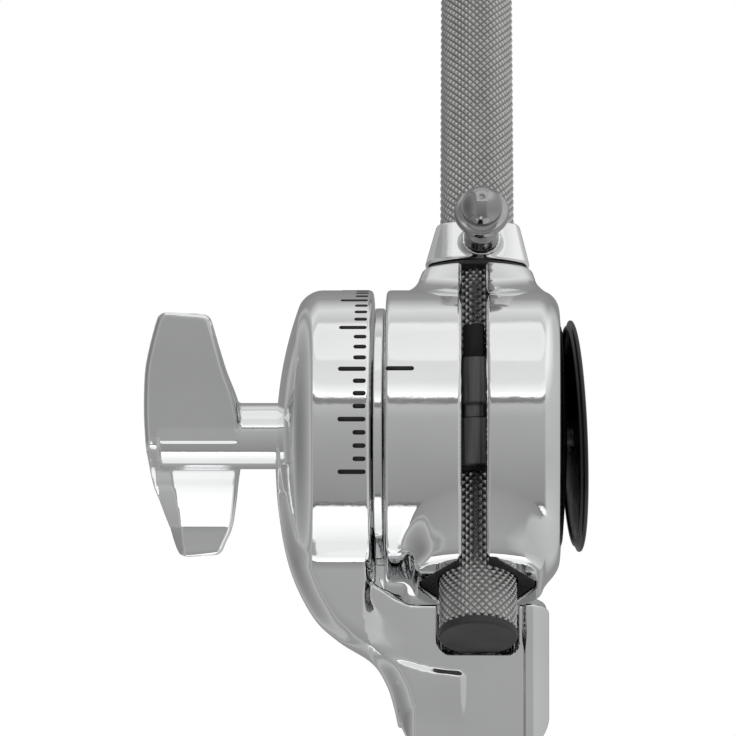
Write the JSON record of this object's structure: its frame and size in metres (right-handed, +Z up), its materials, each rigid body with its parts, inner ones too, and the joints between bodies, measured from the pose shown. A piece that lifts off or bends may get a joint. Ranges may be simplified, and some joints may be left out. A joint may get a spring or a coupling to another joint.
{
  "type": "graduated boom tilter",
  "caption": "Chromed boom tilter: a knurled rod in a split drum clamp that tilts against a graduated dial, locked by a wing nut, on a column for a stand tube.",
  "frame": {"origin": "centre of the column's foot, at the mouth of the tube socket", "axes": "+X along the tilt axis away from the wing nut, +Y to the back, +Z up the column"},
  "size_m": [0.073, 0.1039, 0.1986],
  "materials": {
    "cast_chrome": "bright chrome plate over a die casting, faint casting ripple",
    "turned_chrome": "bright chrome plate on turned parts",
    "knurled_steel": "diamond knurl, dull nickel-chrome plate",
    "dark_steel": "dark oxide, slightly oily",
    "plain_steel": "zinc plate",
    "black_nylon": "moulded nylon",
    "black_cap": "semi-gloss black plastic"
  },
  "bodies": {
    "bracket": {"bracket_casting": "cast_chrome", "tube_seat_ring": "black_nylon", "socket_pin_left": "plain_steel", "socket_pin_right": "plain_steel", "brake_ring": "turned_chrome", "shank_bush": "black_nylon", "release_spring": "dark_steel"},
    "washer": {"thrust_washer": "plain_steel"},
    "wing": {"wing_nut": "cast_chrome"},
    "clamp": {"clamp_inner_half": "cast_chrome", "clamp_outer_half": "cast_chrome", "upper_lining_inner": "black_nylon", "upper_lining_outer": "black_nylon", "lower_lining_inner": "black_nylon", "lower_lining_outer": "black_nylon", "eyebolt": "dark_steel", "joining_screw_upper": "plain_steel", "joining_screw_lower": "plain_steel", "spacer_upper": "plain_steel", "spacer_lower": "plain_steel", "face_dome": "black_cap", "end_disc": "black_cap", "disc_screw": "dark_steel"},
    "rod_end": {"rod_end_plug": "black_nylon"},
    "rod": {"boom_rod": "knurled_steel", "rod_top_plug": "black_nylon"},
    "collar": {"stop_collar": "cast_chrome", "collar_pad": "black_nylon"},
    "key": {"key_screw": "turned_chrome"}
  },
  "joints": [
    {"name": "tilt", "type": "hinge", "parent": "bracket", "child": "clamp", "pos_m": [0, 0, 0.0495], "axis": [-1, 0, 0], "range_deg": [-27, 75]},
    {"name": "wing_travel", "type": "slide", "parent": "bracket", "child": "washer", "axis": [-1, 0, 0], "range_m": [0, 0.00375]},
    {"name": "wing_turn", "type": "hinge", "parent": "washer", "child": "wing", "pos_m": [0, 0, 0.0495], "axis": [-1, 0, 0], "range_deg": [0, 1086]},
    {"name": "rod_slide", "type": "slide", "parent": "clamp", "child": "rod_end", "axis": [0, 0.454, 0.891], "range_m": [0, 0.03]},
    {"name": "rod_spin", "type": "hinge", "parent": "rod_end", "child": "rod", "pos_m": [0, 0, 0.0495], "axis": [0, 0.454, 0.891], "continuous": true},
    {"name": "collar_slide", "type": "slide", "parent": "rod", "child": "collar", "axis": [0, 0.454, 0.891], "range_m": [0, 0.05]},
    {"name": "key_turn", "type": "hinge", "parent": "collar", "child": "key", "pos_m": [0.0007, 0.00411, 0.084], "axis": [0, -0.891, 0.454], "range_deg": [0, 720]}
  ],
  "couplings": [
    {"joint": "wing_turn", "follows": "wing_travel", "rad_per_m": 5026.5}
  ]
}
